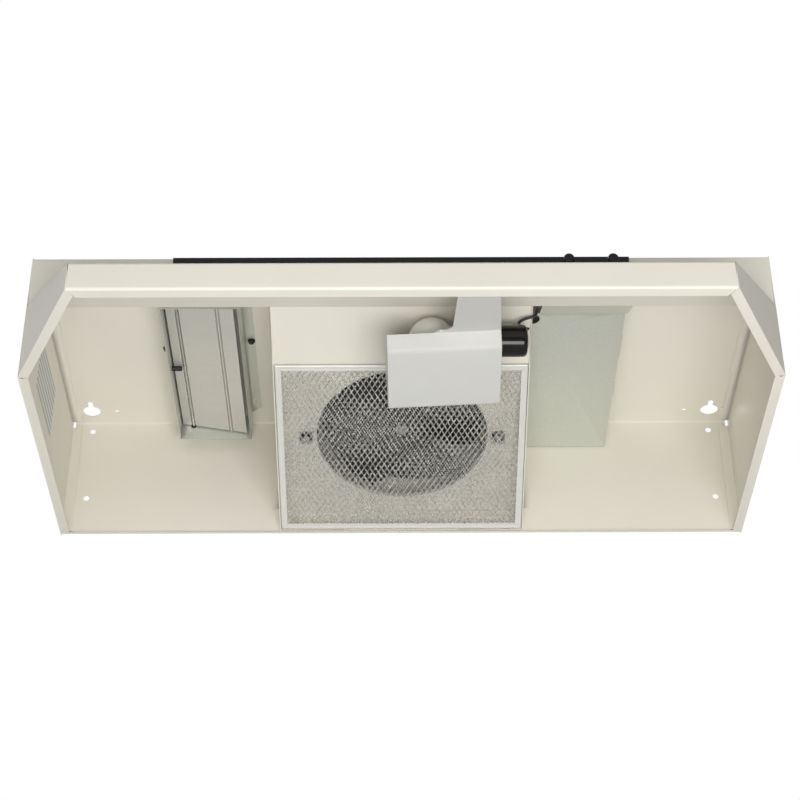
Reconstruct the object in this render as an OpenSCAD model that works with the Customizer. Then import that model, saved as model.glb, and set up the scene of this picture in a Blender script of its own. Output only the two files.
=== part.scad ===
// Under cabinet range hood, as the pieces that come apart on a bench.
// +X is to the right seen from the front, -Y is the front, +Z is up, in millimetres.
// The origin is the middle of the edge where the top face meets the back face.

/* [Shell] */
// Width over the two end panels
hood_w = 758.8; // [757:0.1:762]
// Height from the top face to the bottom lips
hood_h = 150; // [149:0.5:152]
// Depth of the box that goes under the cabinet
box_d = 305; // [304:0.5:306]
// Depth over all, from the back face to the front bar
reach = 446; // [440:1:450]
// Width of the front bar, between the mitred corners
bar_w = 627; // [610:1:640]
// Height of the front bar
bar_h = 31; // [28:1:34]
// Height of the upper fascia, above the visor
fascia_h = 63; // [61:0.5:65]
// Thickness of the sheet of the shell
sheet = 1; // [0.8:0.1:1]
// Outside radius of the bends in the shell
bend_r = 3; // [2:0.5:4]
// Width of the lip that runs in from the front bar
front_lip = 12.6; // [10:0.2:14]
// Width of the lips that run in from the end panels
side_lip = 10; // [8:0.5:12]
// Diameter of the keyholes for the cabinet screws
key_d = 20; // [18:0.5:22]
// Width of the keyhole slots
key_slot = 6; // [5:0.5:7]
// Distance between the left and right keyholes
key_span_x = 708; // [700:1:714]
// Distance between the rear and front keyholes
key_span_y = 252; // [240:1:256]

/* [Fan and filter] */
// Half width of the fan chamber
plenum_x = 134; // [133.6:0.1:134.5]
// Slope of the fan plate, falling to the rear, in degrees
plate_tilt = 13.7; // [13:0.1:14]
// Diameter of the round fan opening
orifice_d = 185; // [183:1:187]
// Diameter over the tips of the fan blade
blade_d = 176; // [160:1:178]
// Number of fan blades
blade_count = 5; // [4:1:6]
// Width of the filter
filter_w = 266.7; // [262:0.1:266.7]
// Length of the filter, front edge to rear edge
filter_l = 222; // [220:0.5:222.5]
// Thickness of the filter
filter_t = 2.4; // [2:0.1:2.6]
// Slope of the filter, falling to the rear, in degrees
filter_tilt = 19.6; // [19.4:0.1:19.8]

/* [Lamp] */
// Diameter of the bulb's globe
globe_d = 49; // [45:1:50]
// Diameter of the lamp socket
socket_d = 33; // [32:0.5:34]
// Left end of the lens
lens_x0 = -15; // [-18:1:-14]
// Right end of the lens, and of its arm
lens_x1 = 100; // [98:1:102]
// Width of the lens arm where it leaves the lens
arm_w = 49; // [45:1:52]

/* [Damper] */
// Width of the duct collar
collar_w = 82; // [81:0.5:83]
// Length of the duct collar
collar_l = 247; // [244:1:248]
// Depth of the duct collar, below the top panel
collar_h = 31; // [30:0.5:33]

/* [Controls] */
// Length of the black control strip
strip_l = 469; // [460:1:475]
// Height of the control strip
strip_h = 32; // [30:1:36]
// Diameter of the two knobs
knob_d = 11; // [10:0.5:12]

/* [Hidden] */

eps = 0.01;
cut = 1;                           // how far a cutting solid runs past the faces it cuts
hw = hood_w / 2;
bar_x = bar_w / 2;
inside_z = -sheet;                 // inner face of the top panel
inside_y = -sheet;                 // inner face of the back panel
fascia_y = sheet - box_d;          // inner face of the upper fascia
key_y = -25;                       // rear keyholes and the small holes beside them
pilot_x = 325;
pilot_d = 5;
wall_hole_x = 355;
wall_hole_d = 6.6;
wall_hole_z = [-12.6, -102.6];
flange_w = 12;                     // laps of the end panels on the top and back panels
duct_w = 254;                      // duct openings for a 3 1/4 by 10 inch duct
duct_h = 82.5;
duct_gap = 18;                     // from the top or back face to the duct opening
wire_hole_d = 22;
wire_x = 190;
wire_gap = 19;

plate_z0 = -120.3;                 // height of the fan plate where it reaches the back face
fan_x = 1;
fan_y = -112;
rim_h = 5;
blade_z = 18;                      // lower face of the blade's disc, from the fan plate
lens_slot_x = [8, 78];
small_hole = [130.6, -257.8];      // spare hole in the fan plate

filter_y = -213.5;                 // front edge of the filter, lower face
filter_gap = 3.5;
filter_rim = 7;
ledge = 2;                         // how far the catches reach under the front edge

strap_w = 16;
strap_t = 1.5;
strap_leg = 96;                    // legs and ears of the motor strap, from the fan axis
strap_top = 34;                    // upper face of the strap over the fan plate
ear_u = 104;
motor_w = 66;
stack_z0 = 46;
stack_z1 = 66;
motor_top = 72;
bolt_u = 28;
bolt_d = 4;
shaft_r = 4;
bearing_gap = 0.05;
rotor_r = 16;

lamp_y = -269;
lamp_z = -81;
socket_x = [74, 129.5];
globe_x = 31;
cap_x = [66, 92];
cap_r = 13;
lens_t = 1.8;
arm_tilt = 19.1;
arm_l = 126;
arm_tip_w = 40;
lens_roll = 3;                     // the lens hangs lower at its left end
lens_pivot = [100, 0, -100];
lens_front = [-310.5, -97.6];
lens_rear = [-217.5, -70];

collar_x = -252;                   // left face of the collar
collar_y = -15;                    // rear face of the collar
collar_screws = [[-162.7, -163.3], [-256.1, -150]];
collar_screw_d = 3.6;
stop_y = -133;                     // pin that the closed flap lies on
stop_z = -17.65;
stop_d = 5.4;
stop_hole_d = 4.2;
flap_pivot = [-237, -15];
flap_tilt = 9.8;
rod_d = 3;

cover_z = -36;
cover_x = [136, 233.5];
motor_hole = [-190, -24];          // way of the motor lead through the chamber's side
cover_y = -255.5;
cover_t = 0.9;

knob_z = -17;
knob_x = [171, 216];
knob_y = -309.8;
strip_t = 2.5;
switch_shaft_r = 3;
bushing_r = 4.6;

cream = [0.87, 0.86, 0.81];
zinc = [0.74, 0.75, 0.74];
bright = [0.82, 0.82, 0.8];
black = [0.08, 0.08, 0.08];

// Height of the fan plate's lower face at y
function plate_z(y) = plate_z0 - tan(plate_tilt) * y;
// Height of the filter's lower face at y
function filter_z(y) = plate_z(filter_y) - filter_gap - tan(filter_tilt) * (y - filter_y);

// Plane paths. Each is a list of points, and shifted() moves one to its left.
function unit(v) = v / norm(v);
function left(v) = [-v[1], v[0]];
function mitred(a, p, b, d) =
    let (m = left(unit(p - a)), n = left(unit(b - p))) p + d * (m + n) / (1 + m * n);
function shifted(path, d) =
    let (last = len(path) - 1)
    [for (i = [0:last])
        i == 0 ? path[0] + d * left(unit(path[1] - path[0])) :
        i == last ? path[i] + d * left(unit(path[i] - path[i - 1])) :
        mitred(path[i - 1], path[i], path[i + 1], d)];
function reversed(path) = [for (i = [len(path) - 1:-1:0]) path[i]];
function bent(a, p, b, r, n = 4) =
    let (
        u = unit(p - a), v = unit(b - p), turn = acos(u * v),
        side = sign(u[0] * v[1] - u[1] * v[0]), start = p - r * tan(turn / 2) * u)
    [for (k = [0:n]) start + r * (sin(turn * k / n) * u + side * (1 - cos(turn * k / n)) * left(u))];
// Path with each inner corner rounded to a radius, or to the corner's own radius from a list
function rounded(path, r) =
    [for (i = [0:len(path) - 1]) each (i == 0 || i == len(path) - 1) ? [path[i]] :
        bent(path[i - 1], path[i], path[i + 1], is_list(r) ? r[i] : r)];
// Outline of a sheet of thickness t whose one face is the path
function strip(path, t) = concat(path, reversed(shifted(path, t)));

// Solid between x0 and x1 of an outline drawn in Y and Z
module slab_x(x0, x1) {
    translate([x0, 0, 0]) rotate([90, 0, 90]) linear_extrude(x1 - x0) children();
}
// Mirrored copy beside the original, for the left and right of the hood
module both_sides() {
    children();
    mirror([1, 0, 0]) children();
}
module drill_z(x, y, d, z0, z1) {
    translate([x, y, z0]) cylinder(d = d, h = z1 - z0, $fn = 48);
}
module drill_y(x, z, d, y0, y1) {
    translate([x, y0, z]) rotate([-90, 0, 0]) cylinder(d = d, h = y1 - y0, $fn = 48);
}
// Frame of the fan: z runs up along the shaft, from the lower face of the fan plate
module on_plate() {
    translate([fan_x, fan_y, plate_z(fan_y)]) rotate([-plate_tilt, 0, 0]) children();
}
// Frame of the filter: y runs to the rear along its lower face
module on_filter() {
    translate([0, filter_y, filter_z(filter_y)]) rotate([-filter_tilt, 0, 0]) children();
}
module collar_screw_holes(z0) {
    for (p = collar_screws) drill_z(p[0], p[1], collar_screw_d + 0.2, z0, cut);
}
module tube(r, bore, h) {
    difference() {
        cylinder(r = r, h = h, $fn = 48);
        translate([0, 0, -cut]) cylinder(r = bore, h = h + 2 * cut, $fn = 48);
    }
}
module hex_screw(d, head_d, head_h, l) {
    cylinder(d = head_d * 1.3, h = head_h * 0.3, $fn = 32);
    cylinder(d = head_d, h = head_h, $fn = 6);
    translate([0, 0, -l]) cylinder(d = d, h = l, $fn = 32);
}

// ---- Shell ----

right_plan = [[hw, 0], [hw, -box_d], [bar_x, -reach]];
roof = [[0, 0], [-box_d, 0], [-box_d, -fascia_h], [-reach, bar_h - hood_h]];
roof_line = concat(roof, [[-reach, -hood_h], [0, -hood_h]]);

module keyhole(x, y) {
    drill_z(x, y, key_d, -sheet - cut, cut);
    translate([x - key_slot / 2, y - key_d / 2 - key_slot, -sheet - cut])
        cube([key_slot, key_slot + 2, sheet + 2 * cut]);
    drill_z(x, y - key_d / 2 - key_slot, key_slot, -sheet - cut, cut);
}

module wrapper_panel() {
    outer = rounded(concat([[-4, -hood_h], [0, -hood_h]], roof,
        [[-reach, -hood_h], [front_lip - reach, -hood_h]]), bend_r);
    // inner faces of the end panels, run on past the front bar
    inner = shifted([right_plan[0], right_plan[1],
        right_plan[1] + 1.1 * (right_plan[2] - right_plan[1])], -sheet);
    plan = concat([[inner[0][0], cut]], [inner[1], inner[2]],
        reversed([for (p = inner) [-p[0], p[1]]]), [[-inner[0][0], cut]]);
    notch = [3, 7];
    color(cream) difference() {
        intersection() {
            slab_x(-hw, hw) polygon(strip(outer, sheet));
            translate([0, 0, -hood_h - cut]) linear_extrude(hood_h + 2 * cut) polygon(plan);
        }
        translate([-duct_w / 2, -duct_gap - duct_h, -sheet - cut])
            cube([duct_w, duct_h, sheet + 2 * cut]);
        translate([-duct_w / 2, -sheet - cut, -duct_gap - duct_h])
            cube([duct_w, sheet + 2 * cut, duct_h]);
        drill_z(wire_x, -wire_gap - wire_hole_d, wire_hole_d, -sheet - cut, cut);
        drill_y(wire_x, -wire_gap, wire_hole_d, -sheet - cut, cut);
        both_sides() {
            for (y = [key_y, key_y - key_span_y]) keyhole(key_span_x / 2, y);
            drill_z(pilot_x, key_y, pilot_d, -sheet - cut, cut);
            for (z = wall_hole_z) drill_y(wall_hole_x, z, wall_hole_d, -sheet - cut, cut);
            translate([hw - sheet - notch[0], -notch[1] + 2, -notch[1]])
                cube([notch[0] + cut, notch[1], notch[1] + cut]);
            // open end of the front lip, cut on the corner's bisector
            translate([0, 0, -hood_h - cut]) linear_extrude(sheet + 2 * cut)
                polygon([[bar_x - 0.6, 1 - reach], [bar_x - 9.6, front_lip + 1 - reach],
                    [bar_x + 8, front_lip + 1 - reach]]);
        }
        for (x = knob_x) drill_y(x, knob_z, 2 * bushing_r + 0.2, -box_d - cut, fascia_y + cut);
        collar_screw_holes(-sheet - cut);
    }
}

module end_panel() {
    lip_z = -hood_h;
    wall = concat(right_plan, reversed(shifted(right_plan, -sheet)));
    lip_inner = shifted(right_plan, -side_lip);
    knee = [hw - side_lip, lip_inner[1][1]];
    weld_x = hw - 5.5;
    difference() {
        union() {
            intersection() {
                translate([0, 0, lip_z]) linear_extrude(hood_h) polygon(wall);
                slab_x(0, hw + cut) polygon(roof_line);
            }
            // lip along the side, then the lip along the mitred corner
            translate([knee[0], knee[1] + 0.4, lip_z]) cube([side_lip - eps, -knee[1] - 4.9, sheet]);
            translate([0, 0, lip_z]) linear_extrude(sheet)
                polygon([[hw - eps, knee[1] - 0.4], [hw - eps, right_plan[1][1]], right_plan[2],
                    [bar_x - 0.64 * side_lip, side_lip - reach],
                    [knee[0], knee[1] - 0.4]]);
            // laps under the top panel and against the back panel
            translate([hw - flange_w, -300, inside_z - sheet]) cube([flange_w - eps, 200, sheet]);
            translate([hw - flange_w + 2, -100.1, inside_z - sheet])
                cube([flange_w - 2 - eps, 70.2, sheet]);
            translate([hw - flange_w - 2, -30, inside_z - sheet]) cube([flange_w + 2 - eps, 25, sheet]);
            translate([hw - flange_w, inside_y - sheet, lip_z + bend_r + 0.5])
                cube([flange_w - eps, sheet, hood_h - bend_r - 8.5]);
            // return behind the front bar
            translate([0, 0, lip_z + bend_r + 0.5]) linear_extrude(bar_h - 8)
                polygon([[bar_x - 13, sheet - reach], [bar_x - 0.6, sheet - reach],
                    [bar_x - 0.2, 2 * sheet - reach], [bar_x - 13, 2 * sheet - reach]]);
        }
        drill_z(hw - 4, knee[1], 3.4, lip_z - cut, lip_z + sheet + cut);
        // spot weld in the rear lap
        drill_y(weld_x, -30, 4.4, inside_y - sheet - cut, inside_y - sheet + 0.3);
    }
}
module right_end_panel() {
    color(cream) end_panel();
}
module left_end_panel() {
    color(cream) mirror([1, 0, 0]) end_panel();
}

// Blank of a duct opening, held by small bridges of uncut sheet
module knockout_blank() {
    slit = 0.7;
    bridge = 2.4;
    translate([slit - duct_w / 2, slit, 0]) cube([duct_w - 2 * slit, duct_h - 2 * slit, sheet]);
    for (x = [-90, 0, 90]) translate([x - bridge / 2, 0, 0]) cube([bridge, duct_h, sheet]);
    for (y = [20, duct_h - 20]) translate([-duct_w / 2, y, 0]) cube([duct_w, bridge, sheet]);
}
module top_duct_knockout() {
    color(cream) translate([0, -duct_gap - duct_h, -sheet]) knockout_blank();
}
module rear_duct_knockout() {
    color(cream) translate([0, 0, -duct_gap - duct_h]) rotate([90, 0, 0]) knockout_blank();
}
// Round blanks of the two cable entries, one in the top and one in the back
module wiring_knockouts() {
    blank_d = wire_hole_d - 1.2;
    color(cream) {
        translate([wire_x, -wire_gap - wire_hole_d, -sheet]) {
            cylinder(d = blank_d, h = sheet, $fn = 48);
            translate([-1.5, 0, 0]) cube([3, wire_hole_d / 2 - 0.1, sheet]);
        }
        translate([wire_x, 0, -wire_gap]) rotate([90, 0, 0]) {
            cylinder(d = blank_d, h = sheet, $fn = 48);
            translate([-1.5, 0, 0]) cube([3, wire_hole_d / 2 - 0.1, sheet]);
        }
    }
}
// Blank plate where the electrical data would be
module rating_plate() {
    color([0.9, 0.89, 0.86]) translate([sheet - hw, -220, -101]) cube([0.3, 95, 61]);
}

// ---- Fan chamber ----

skirt = 2;
module plenum_side() {
    corner = bend_r + 0.2;         // clear of the bends of the shell
    low = filter_z(inside_y) + 1;
    difference() {
        union() {
            slab_x(plenum_x, plenum_x + sheet)
                polygon([[inside_y, -corner], [-corner, inside_z], [corner - box_d, inside_z],
                    [fascia_y, -corner], [fascia_y, plate_z(fascia_y) - skirt],
                    [filter_y - 5, plate_z(filter_y - 5) - skirt],
                    [filter_y - 2, filter_z(filter_y - 2)], [inside_y, low]]);
            translate([plenum_x + eps, corner - box_d, inside_z - sheet])
                cube([10, box_d - 2 * corner, sheet]);
            translate([plenum_x + eps, inside_y - sheet, -118]) cube([11, sheet, 118 - corner]);
        }
        // way through for the motor lead
        translate([plenum_x - cut, motor_hole[0], motor_hole[1]]) rotate([0, 90, 0])
            cylinder(d = 8, h = sheet + 2 * cut, $fn = 32);
    }
}
module plenum_right_side() {
    color(cream) plenum_side();
}
module plenum_left_side() {
    color(cream) mirror([1, 0, 0]) plenum_side();
}

module fan_plate() {
    rise = sheet / cos(plate_tilt);
    top = [[inside_y, plate_z0 - 10], [inside_y, plate_z(inside_y) + rise],
        [fascia_y, plate_z(fascia_y) + rise], [fascia_y, plate_z(fascia_y) - 11]];
    rim_r = orifice_d / 2;
    color(cream) difference() {
        union() {
            difference() {
                slab_x(-plenum_x, plenum_x) polygon(strip(top, sheet));
                on_plate() translate([0, 0, -20]) cylinder(d = orifice_d, h = 40, $fn = 96);
            }
            // rolled rim of the fan opening
            on_plate() rotate_extrude($fn = 96) polygon(concat(
                [[rim_r + 2, 0], [rim_r + 0.6, 0]],
                [[rim_r, 0.4], [rim_r, rim_h], [rim_r + sheet, rim_h],
                    [rim_r + sheet, sheet + 1], [rim_r + 2, sheet]]));
        }
        for (s = [-1, 1]) on_plate() translate([s * ear_u, 0, -cut])
            cylinder(d = 8, h = sheet + 2 * cut, $fn = 48);
        for (x = lens_slot_x) translate([x - 5, lens_rear[0] - lens_t - 0.9, plate_z(lens_rear[0]) - 3])
            cube([10, lens_t + 1.8, 8]);
        translate([small_hole[0], small_hole[1], plate_z(small_hole[1]) - 3])
            cylinder(d = 4.2, h = 8, $fn = 32);
    }
}

// Strap that carries the motor over the opening, with an ear at each end
module motor_strap() {
    color(zinc) on_plate() difference() {
        union() {
            for (s = [0, 1]) mirror([s, 0, 0]) {
                translate([strap_leg - strap_t, -strap_w / 2, sheet]) cube([18, strap_w, strap_t]);
                translate([strap_leg - strap_t, -strap_w / 2, sheet])
                    cube([strap_t, strap_w, strap_top - sheet]);
            }
            translate([-strap_leg, -strap_w / 2, strap_top - strap_t])
                cube([2 * strap_leg, strap_w, strap_t]);
            translate([0, 0, strap_top - strap_t]) cylinder(r = 22, h = strap_t, $fn = 48);
        }
        cylinder(r = 10, h = 60, $fn = 48);
        for (s = [-1, 1]) {
            translate([s * bolt_u, 0, 20]) cylinder(d = bolt_d + 0.2, h = 20, $fn = 32);
            translate([s * ear_u, 0, 0]) cylinder(d = 4.4, h = 10, $fn = 32);
        }
    }
}
// Plates under the ears, on the lower face of the fan plate
module strap_washers() {
    color(bright) on_plate() for (s = [-1, 1]) translate([s * ear_u, 0, -1]) difference() {
        translate([-7.5, -7.5, 0]) cube([15, 19, 1]);
        translate([0, 0, -cut]) cylinder(d = 8, h = 3, $fn = 48);
    }
}
// Rubber rings that stop the strap's hum
module strap_grommets() {
    color(black) on_plate() for (s = [-1, 1]) translate([s * ear_u, 0, 0]) difference() {
        union() {
            translate([0, 0, -3.2]) cylinder(d = 14, h = 2.2, $fn = 48);
            translate([0, 0, -1]) cylinder(d = 7.8, h = 1 + sheet, $fn = 48);
        }
        translate([0, 0, -5]) cylinder(d = 4.2, h = 10, $fn = 32);
    }
}
module strap_screws() {
    color(zinc) on_plate() for (s = [-1, 1]) translate([s * ear_u, 0, -3.2]) {
        rotate([180, 0, 0]) cylinder(d = 7.4, h = 2, $fn = 6);
        cylinder(d = 4, h = 10, $fn = 32);
    }
}

module motor_end(z_plate, z_leg0, z_leg1, z_boss0, z_boss1) {
    difference() {
        union() {
            translate([-motor_w / 2, -11, z_plate]) cube([motor_w, 22, 2]);
            for (s = [-1, 1]) translate([s * bolt_u - 5, -11, z_leg0]) cube([10, 22, z_leg1 - z_leg0]);
            translate([0, 0, z_boss0]) cylinder(r = 9.5, h = z_boss1 - z_boss0, $fn = 48);
        }
        translate([0, 0, z_boss0 - 5]) cylinder(r = 7, h = z_boss1 - z_boss0 + 10, $fn = 48);
        for (s = [-1, 1]) translate([s * bolt_u, 0, z_plate - 20])
            cylinder(d = bolt_d + 0.2, h = 60, $fn = 32);
    }
}
module motor_front_bracket() {
    color(bright) on_plate() motor_end(strap_top, strap_top + 2, stack_z0, strap_top, 43);
}
module motor_rear_bracket() {
    color(bright) on_plate() motor_end(motor_top, stack_z1, motor_top, 67, motor_top + 2);
}
// Laminated core: one leg carries the coil
module motor_stator() {
    color([0.45, 0.45, 0.47]) on_plate() difference() {
        translate([-motor_w / 2, -33, stack_z0]) cube([motor_w, 88, stack_z1 - stack_z0]);
        cylinder(r = rotor_r + 0.5, h = 100, $fn = 64);
        translate([-21, 23, 0]) cube([42, 19, 100]);
        for (s = [-1, 1]) translate([s * bolt_u, 0, 0]) cylinder(d = bolt_d + 0.2, h = 100, $fn = 32);
    }
}
module motor_coil() {
    color([0.72, 0.45, 0.25]) on_plate() difference() {
        translate([-19, 36, stack_z0 - 6]) cube([38, 25, stack_z1 - stack_z0 + 12]);
        translate([-20, 41.9, stack_z0 - 0.1]) cube([40, 13.2, stack_z1 - stack_z0 + 0.2]);
    }
}
module motor_bolts() {
    color(zinc) on_plate() for (s = [-1, 1]) translate([s * bolt_u, 0, strap_top - strap_t]) {
        translate([0, 0, -3]) cylinder(d = 8, h = 3, $fn = 32);
        cylinder(d = bolt_d, h = motor_top + 4 - strap_top + strap_t, $fn = 32);
        translate([0, 0, motor_top + 2 - strap_top + strap_t]) cylinder(d = 8, h = 3, $fn = 6);
    }
}
module front_bearing() {
    color([0.7, 0.55, 0.3]) on_plate() translate([0, 0, 35]) tube(7, shaft_r + bearing_gap, 8);
}
module rear_bearing() {
    color([0.7, 0.55, 0.3]) on_plate() translate([0, 0, 67]) tube(7, shaft_r + bearing_gap, 6.5);
}
module motor_shaft() {
    z0 = blade_z - 10;
    color(bright) on_plate() translate([0, 0, z0]) cylinder(r = shaft_r, h = 78 - z0, $fn = 48);
}
module motor_rotor() {
    color([0.55, 0.55, 0.56]) on_plate() translate([0, 0, stack_z0 + 0.5])
        tube(rotor_r, shaft_r, stack_z1 - stack_z0 - 1);
}
module fan_blade() {
    pitch = 14;
    root = 12;
    tip = blade_d / 2;
    color(bright) on_plate() {
        translate([0, 0, blade_z - 4]) tube(9, shaft_r, 11);
        translate([0, 0, blade_z]) difference() {
            cylinder(r = 24, h = 1.2, $fn = 64);
            translate([0, 0, -cut]) cylinder(r = 8.9, h = 4, $fn = 48);
        }
        intersection() {
            for (k = [0:blade_count - 1]) rotate([0, 0, 360 / blade_count * k])
                translate([0, 0, blade_z + 0.6]) rotate([pitch, 0, 0]) translate([0, 0, -0.6])
                    linear_extrude(1.2) polygon([[root, -8], [26, -20], [50, -38], [66, -50], [tip + 6, -50],
                        [tip + 6, 44], [62, 44], [44, 34], [26, 18], [root, 8]]);
            difference() {
                translate([0, 0, -10]) cylinder(r = tip, h = 50, $fn = 96);
                translate([0, 0, -11]) cylinder(r = 8.9, h = 52, $fn = 48);
            }
        }
    }
}
module blade_nut() {
    color(zinc) on_plate() translate([0, 0, blade_z - 9]) difference() {
        cylinder(d = 14, h = 4.9, $fn = 6);
        translate([0, 0, -cut]) cylinder(r = shaft_r, h = 7, $fn = 48);
    }
}

// ---- Filter ----

module filter_frame() {
    color(bright) on_filter() difference() {
        translate([-filter_w / 2, 0, 0]) cube([filter_w, filter_l, filter_t]);
        translate([filter_rim - filter_w / 2, filter_rim, -cut])
            cube([filter_w - 2 * filter_rim, filter_l - 2 * filter_rim, filter_t + 2 * cut]);
    }
}
module filter_mesh() {
    mesh_t = 1.6;
    color([0.7, 0.68, 0.63]) on_filter()
        translate([filter_rim - filter_w / 2, filter_rim, (filter_t - mesh_t) / 2])
            cube([filter_w - 2 * filter_rim, filter_l - 2 * filter_rim, mesh_t]);
}
// Cream angle along the foot of the back wall, behind the filter's rear edge
module filter_rail() {
    end_l = 20;
    x0 = 0.5 - plenum_x;
    l = -2 * x0;
    foot = bend_r + 0.2 - hood_h;  // lower face, clear of the bend of the back panel
    depth = 2;
    color(cream) {
        difference() {
            translate([x0, inside_y - depth, foot]) cube([l, depth, 1]);
            for (x = [-62, 62]) translate([x, inside_y - depth, foot - cut])
                cylinder(r = 1.4, h = 1 + 2 * cut, $fn = 32);
        }
        translate([x0, inside_y - 1, foot + 0.5]) cube([l, 1, 13]);
        for (x = [x0, -x0 - end_l]) translate([x, inside_y - depth, foot + 0.2])
            cube([end_l, depth - 0.4, 1.8]);
    }
}
// Two folded hooks that carry the filter's front edge
module filter_catches() {
    hook_w = 14;
    color(cream) for (x = [20, 86]) on_filter() translate([x, 0, 0]) {
        translate([0, -2.2, -1.4]) cube([hook_w, 1, 4.5]);
        translate([0, -1.3, -1.4]) cube([hook_w, 1.3 + ledge, 1]);
    }
}

// ---- Lamp ----

module on_lamp(x) {
    translate([x, lamp_y, lamp_z]) rotate([0, 90, 0]) children();
}
module lamp_socket() {
    l = socket_x[1] - socket_x[0];
    well = 30;
    color(black) on_lamp(socket_x[0]) difference() {
        union() {
            cylinder(d = socket_d, h = l - 3, $fn = 64);
            translate([0, 0, l - 3]) cylinder(d1 = socket_d, d2 = socket_d - 5, h = 3, $fn = 64);
        }
        translate([0, 0, -cut]) cylinder(r = 14.6, h = well + cut, $fn = 64);
    }
}
module socket_shell() {
    color([0.8, 0.68, 0.35]) on_lamp(socket_x[0] + 2) difference() {
        cylinder(r = 14.5, h = 27.9, $fn = 64);
        translate([0, 0, -cut]) cylinder(r = 13.6, h = 27 + cut, $fn = 64);
    }
}
// Saddle that hangs the socket from the fan plate
module socket_bracket() {
    x0 = 104;
    neck = [-266, -257];           // front and rear of the neck, behind the top of the socket
    foot_y = -236;
    color(zinc) difference() {
        slab_x(x0, x0 + 12) polygon([[neck[0], plate_z(neck[0])], [foot_y, plate_z(foot_y)],
            [foot_y, plate_z(foot_y) - 1.5], [neck[1], plate_z(neck[1]) - 1.5], [neck[1], lamp_z],
            [neck[0], lamp_z]]);
        on_lamp(80) cylinder(d = socket_d, h = 60, $fn = 64);
    }
}
module bulb_glass() {
    r = globe_d / 2;
    wall = 0.8;
    neck_r = 12.6;
    reach_x = cap_x[0] - globe_x;
    outline = concat(
        [[0, -r]], [for (a = [-80:10:40]) [r * cos(a), r * sin(a)]],
        [[neck_r + 2.4, r * 0.84], [neck_r, reach_x - 6], [neck_r, reach_x]]);
    inner = [for (p = outline) [max(0, p[0] - wall), p[1] < 0 ? p[1] * (r - wall) / r : p[1]]];
    color([0.95, 0.95, 0.92]) on_lamp(globe_x) rotate_extrude($fn = 64)
        polygon(concat(outline, reversed(inner)));
}
module bulb_cap() {
    color([0.8, 0.75, 0.6]) on_lamp(cap_x[0]) {
        cylinder(r = cap_r, h = cap_x[1] - cap_x[0], $fn = 48);
        translate([0, 0, cap_x[1] - cap_x[0]]) cylinder(r1 = 8, r2 = 5, h = 3, $fn = 48);
    }
}

lens_floor = [[lens_rear[0], plate_z(lens_rear[0]) - 1.4], [lens_rear[0] - 1, -127.5],
    [-300.5, -112.8], lens_front];
// Frame of the lens, turned about its right end
module on_lens() {
    translate(lens_pivot) rotate([0, -lens_roll, 0]) translate(-lens_pivot) children();
}
module lamp_lens() {
    outer = rounded(lens_floor, [0, 6, 10, 0]);
    inner = shifted(outer, -lens_t);
    arm_x = lens_x1 - arm_w;
    tip_x = arm_x + arm_tip_w;
    fillet = 18;
    color([0.93, 0.93, 0.92]) {
        on_lens() difference() {
            slab_x(lens_x0, lens_x1) polygon(outer);
            slab_x(lens_x0 + lens_t, lens_x1 - lens_t)
                polygon(concat([inner[0] + [0, 20]], inner, [inner[len(inner) - 1] + [0, 20]]));
            // open notch for the socket in the right end
            on_lamp(lens_x1 - lens_t - cut) cylinder(r = socket_d / 2 + 1.5, h = lens_t + 2 * cut, $fn = 64);
            translate([lens_x1 - lens_t - cut, lamp_y - socket_d / 2 - 1.5, lamp_z])
                cube([lens_t + 2 * cut, socket_d + 3, 40]);
        }
        // upright tabs for the slots of the fan plate
        for (x = lens_slot_x) translate([x - 4, lens_rear[0] - lens_t, plate_z(lens_rear[0]) - 12])
            cube([8, lens_t, 17]);
        // arm that runs forward under the visor, filleted into the box
        on_lens() translate([0, lens_front[0], lens_front[1]]) rotate([arm_tilt, 0, 0])
            translate([0, 0, -lens_t]) linear_extrude(lens_t) polygon(concat(
                [[lens_x1, lens_t], [arm_x - fillet, lens_t]],
                [for (a = [0:15:90]) [arm_x - fillet + fillet * sin(a), -fillet + fillet * cos(a)]],
                [[arm_x, -arm_l + 3], [arm_x + 3, -arm_l], [tip_x - 3, -arm_l],
                    [tip_x, -arm_l + 3], [lens_x1, -2]]));
    }
}

// Round tube swept along points: one ring of sides at each point
function ring(p, dir, r, n) =
    let (
        side = unit(cross(dir, abs(dir[2]) > 0.9 ? [1, 0, 0] : [0, 0, 1])),
        up = cross(side, dir))
    [for (k = [0:n - 1]) p + r * (cos(360 * k / n) * side + sin(360 * k / n) * up)];
module swept(path, r, n = 8) {
    last = len(path) - 1;
    rings = [for (i = [0:last])
        each ring(path[i], unit(path[min(i + 1, last)] - path[max(i - 1, 0)]), r, n)];
    sides = [for (i = [0:last - 1], k = [0:n - 1])
        [i * n + k, i * n + (k + 1) % n, (i + 1) * n + (k + 1) % n, (i + 1) * n + k]];
    polyhedron(rings, concat(sides, [[for (k = [n - 1:-1:0]) k]],
        [[for (k = [0:n - 1]) last * n + k]]));
}
lamp_route = [
    [120, -277, -64.8], [122, -277.5, -62.3], [125, -278, -60.5], [129, -278.5, -59.2],
    [133, -279, -58.4], [136.5, -280.5, -57.5], [138.5, -284, -56], [139.2, -288.5, -53.5],
    [139.8, -293, -49], [141, -296, -43], [144, -297.3, -36.5], [147.5, -296, -30], [150.5, -293, -24],
    [154, -290.8, -19.5], [157, -290, -18], [158.9, -290, -18]
];
motor_route = [
    [40, -45, -46], [62, -60, -38], [84, -90, -32], [104, -130, -27], [118, -165, -24],
    [128, -185, -24], [138, -190, -24], [150, -196, -24], [164, -210, -22], [180, -232, -19],
    [196, -256, -17], [204, -272, -17], [208, -280.5, -17]
];
module lamp_lead() {
    color(black) swept(lamp_route, 1.6);
}
module motor_lead() {
    color([0.15, 0.15, 0.16]) swept(motor_route, 1.6);
}

// ---- Wiring box ----

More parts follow.
